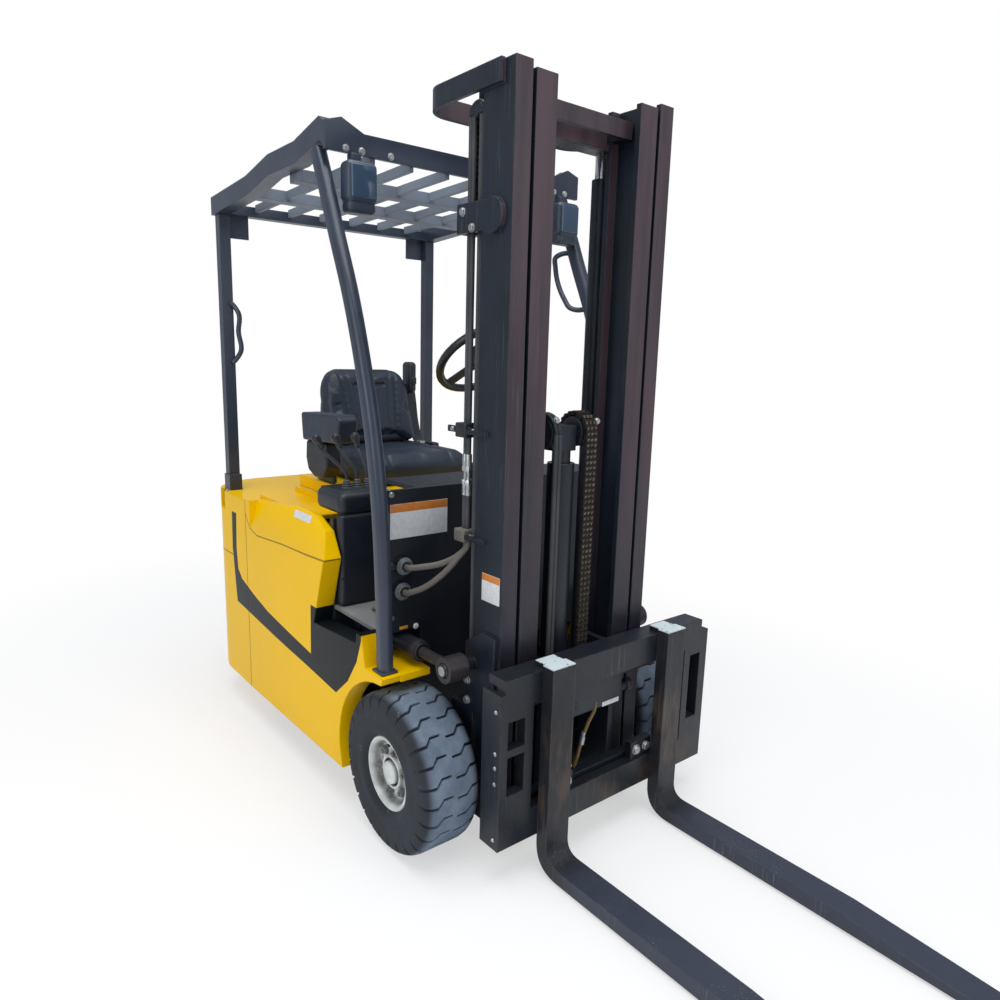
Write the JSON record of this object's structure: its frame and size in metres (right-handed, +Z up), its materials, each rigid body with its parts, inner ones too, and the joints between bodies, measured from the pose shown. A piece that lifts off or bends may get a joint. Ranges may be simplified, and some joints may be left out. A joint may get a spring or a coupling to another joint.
{
  "type": "electric forklift",
  "caption": "Three-wheel electric counterbalance forklift with a three-stage tilting mast, side-shifting forks, overhead guard and a battery hood that carries the seat.",
  "frame": {"origin": "on the floor, under the middle of the bounding box", "axes": "+X forward along the forks, +Y to the operator's left, +Z up"},
  "size_m": [2.807, 1, 2.068],
  "materials": {
    "yellow_paint": "gloss yellow paint, scuffed",
    "black_paint": "satin black paint, worn on edges",
    "battery_box": "plain grey painted steel box",
    "black_plastic": "textured moulded plastic",
    "lamp_grey": "grey lamp housing",
    "vinyl": "black vinyl upholstery",
    "tyre_rubber": "dusty worn rubber",
    "rim_paint": "dirty off-white paint",
    "polished_steel": "ground steel rod",
    "hose_rubber": "dusty black hydraulic hose",
    "fitting_steel": "zinc plated hose fittings",
    "chain_steel": "oiled brown leaf chain"
  },
  "bodies": {
    "chassis": {"chassis_frame": "black_paint", "battery": "battery_box", "counterweight": "yellow_paint", "drive_axle": "black_paint", "side_panel_right": "yellow_paint", "side_panel_left": "yellow_paint", "floor_plate": "black_plastic", "front_cowl": "black_plastic", "lever_console": "black_plastic", "steering_column": "black_plastic", "guard_roof": "black_paint", "roof_grille": "black_paint", "guard_leg_front_right": "black_paint", "guard_leg_front_left": "black_paint", "guard_leg_rear_right": "black_paint", "guard_leg_rear_left": "black_paint", "work_lamp_right": "lamp_grey", "work_lamp_left": "lamp_grey", "supply_hoses": "hose_rubber"},
    "front_wheel_right": {"front_tyre_right": "tyre_rubber", "front_rim_right": "rim_paint"},
    "front_wheel_left": {"front_tyre_left": "tyre_rubber", "front_rim_left": "rim_paint"},
    "steer_unit": {"steer_knuckle": "black_paint"},
    "rear_wheels": {"rear_hub": "rim_paint", "rear_tyre_right": "tyre_rubber", "rear_tyre_left": "tyre_rubber"},
    "steering_wheel": {"steering_wheel": "black_plastic"},
    "hood": {"battery_hood": "yellow_paint", "seat_cushion": "vinyl", "seat_backrest": "vinyl", "armrest_box": "black_plastic"},
    "mast_outer": {"mast_outer": "black_paint", "lift_barrel_right": "black_paint", "lift_barrel_left": "black_paint", "side_chain_rear_right": "chain_steel", "side_chain_rear_left": "chain_steel", "side_hose_rear": "hose_rubber", "hose_fittings": "fitting_steel"},
    "mast_middle": {"mast_middle": "black_paint", "lift_rod_right": "polished_steel", "lift_rod_left": "polished_steel"},
    "mast_inner": {"mast_inner": "black_paint", "free_lift_barrel": "black_paint", "side_chain_front_right": "chain_steel", "side_chain_front_left": "chain_steel", "centre_chain_rear": "chain_steel", "side_hose_front": "hose_rubber", "centre_hose_rear": "hose_rubber"},
    "crosshead": {"crosshead": "black_paint"},
    "carriage": {"lift_carriage": "black_paint", "centre_chain_front": "chain_steel", "centre_hose_front": "hose_rubber"},
    "sideshift": {"sideshift_frame": "black_paint"},
    "fork_right": {"fork_right": "black_paint"},
    "fork_left": {"fork_left": "black_paint"},
    "tilt_barrel_right": {"tilt_barrel_right": "black_paint"},
    "tilt_barrel_left": {"tilt_barrel_left": "black_paint"},
    "tilt_rod_right": {"tilt_rod_right": "polished_steel"},
    "tilt_rod_left": {"tilt_rod_left": "polished_steel"}
  },
  "joints": [
    {"name": "front_wheel_right_spin", "type": "hinge", "parent": "chassis", "child": "front_wheel_right", "pos_m": [0.0325, -0.411, 0.228], "axis": [0, 1, 0], "continuous": true},
    {"name": "front_wheel_left_spin", "type": "hinge", "parent": "chassis", "child": "front_wheel_left", "pos_m": [0.0325, 0.411, 0.228], "axis": [0, 1, 0], "continuous": true},
    {"name": "steer", "type": "hinge", "parent": "chassis", "child": "steer_unit", "pos_m": [-1.1575, 0, 0.3], "axis": [0, 0, 1], "range_deg": [-90, 90]},
    {"name": "rear_wheels_spin", "type": "hinge", "parent": "steer_unit", "child": "rear_wheels", "pos_m": [-1.1575, 0, 0.19], "axis": [0, 1, 0], "continuous": true},
    {"name": "steering_wheel_turn", "type": "hinge", "parent": "chassis", "child": "steering_wheel", "pos_m": [-0.1935, 0, 1.378], "axis": [-0.6561, 0, 0.7547], "continuous": true},
    {"name": "hood_lid", "type": "hinge", "parent": "chassis", "child": "hood", "pos_m": [-0.9535, 0, 0.88], "axis": [0, -1, 0], "range_deg": [0, 60]},
    {"name": "mast_tilt", "type": "hinge", "parent": "chassis", "child": "mast_outer", "pos_m": [0.0325, 0, 0.228], "axis": [0, 1, 0], "range_deg": [-5, 5], "deforming": ["supply_hoses"]},
    {"name": "main_lift", "type": "slide", "parent": "mast_outer", "child": "mast_middle", "axis": [0, 0, 1], "range_m": [0, 1.4], "deforming": ["side_chain_rear_right", "side_chain_rear_left", "side_hose_rear"]},
    {"name": "second_lift", "type": "slide", "parent": "mast_middle", "child": "mast_inner", "axis": [0, 0, 1], "range_m": [0, 1.4], "deforming": ["side_chain_front_right", "side_chain_front_left", "side_hose_front"]},
    {"name": "free_lift", "type": "slide", "parent": "mast_inner", "child": "crosshead", "axis": [0, 0, 1], "range_m": [0, 0.7], "deforming": ["centre_chain_rear", "centre_hose_rear"]},
    {"name": "carriage_lift", "type": "slide", "parent": "crosshead", "child": "carriage", "axis": [0, 0, 1], "range_m": [0, 0.7], "deforming": ["centre_chain_front", "centre_hose_front"]},
    {"name": "sideshift", "type": "slide", "parent": "carriage", "child": "sideshift", "axis": [0, 1, 0], "range_m": [-0.156, 0.044]},
    {"name": "fork_right_slide", "type": "slide", "parent": "sideshift", "child": "fork_right", "axis": [0, 1, 0], "range_m": [-0.11, 0.12]},
    {"name": "fork_left_slide", "type": "slide", "parent": "sideshift", "child": "fork_left", "axis": [0, 1, 0], "range_m": [-0.12, 0.15]},
    {"name": "tilt_barrel_right_swing", "type": "hinge", "parent": "chassis", "child": "tilt_barrel_right", "pos_m": [-0.2975, -0.361, 0.548], "axis": [0, 1, 0], "range_deg": [-1.6, 1.6]},
    {"name": "tilt_barrel_left_swing", "type": "hinge", "parent": "chassis", "child": "tilt_barrel_left", "pos_m": [-0.2975, 0.361, 0.548], "axis": [0, 1, 0], "range_deg": [-1.6, 1.6]},
    {"name": "tilt_rod_right_slide", "type": "slide", "parent": "tilt_barrel_right", "child": "tilt_rod_right", "axis": [1, 0, 0], "range_m": [-0.03, 0.03]},
    {"name": "tilt_rod_left_slide", "type": "slide", "parent": "tilt_barrel_left", "child": "tilt_rod_left", "axis": [1, 0, 0], "range_m": [-0.03, 0.03]}
  ],
  "couplings": [
    {"joint": "second_lift", "follows": "main_lift", "ratio": 1},
    {"joint": "carriage_lift", "follows": "free_lift", "ratio": 1},
    {"joint": "tilt_barrel_right_swing", "follows": "mast_tilt", "ratio": 0.2857},
    {"joint": "tilt_barrel_left_swing", "follows": "mast_tilt", "ratio": 0.2857},
    {"joint": "tilt_rod_right_slide", "follows": "mast_tilt", "m_per_rad": 0.33},
    {"joint": "tilt_rod_left_slide", "follows": "mast_tilt", "m_per_rad": 0.33}
  ]
}
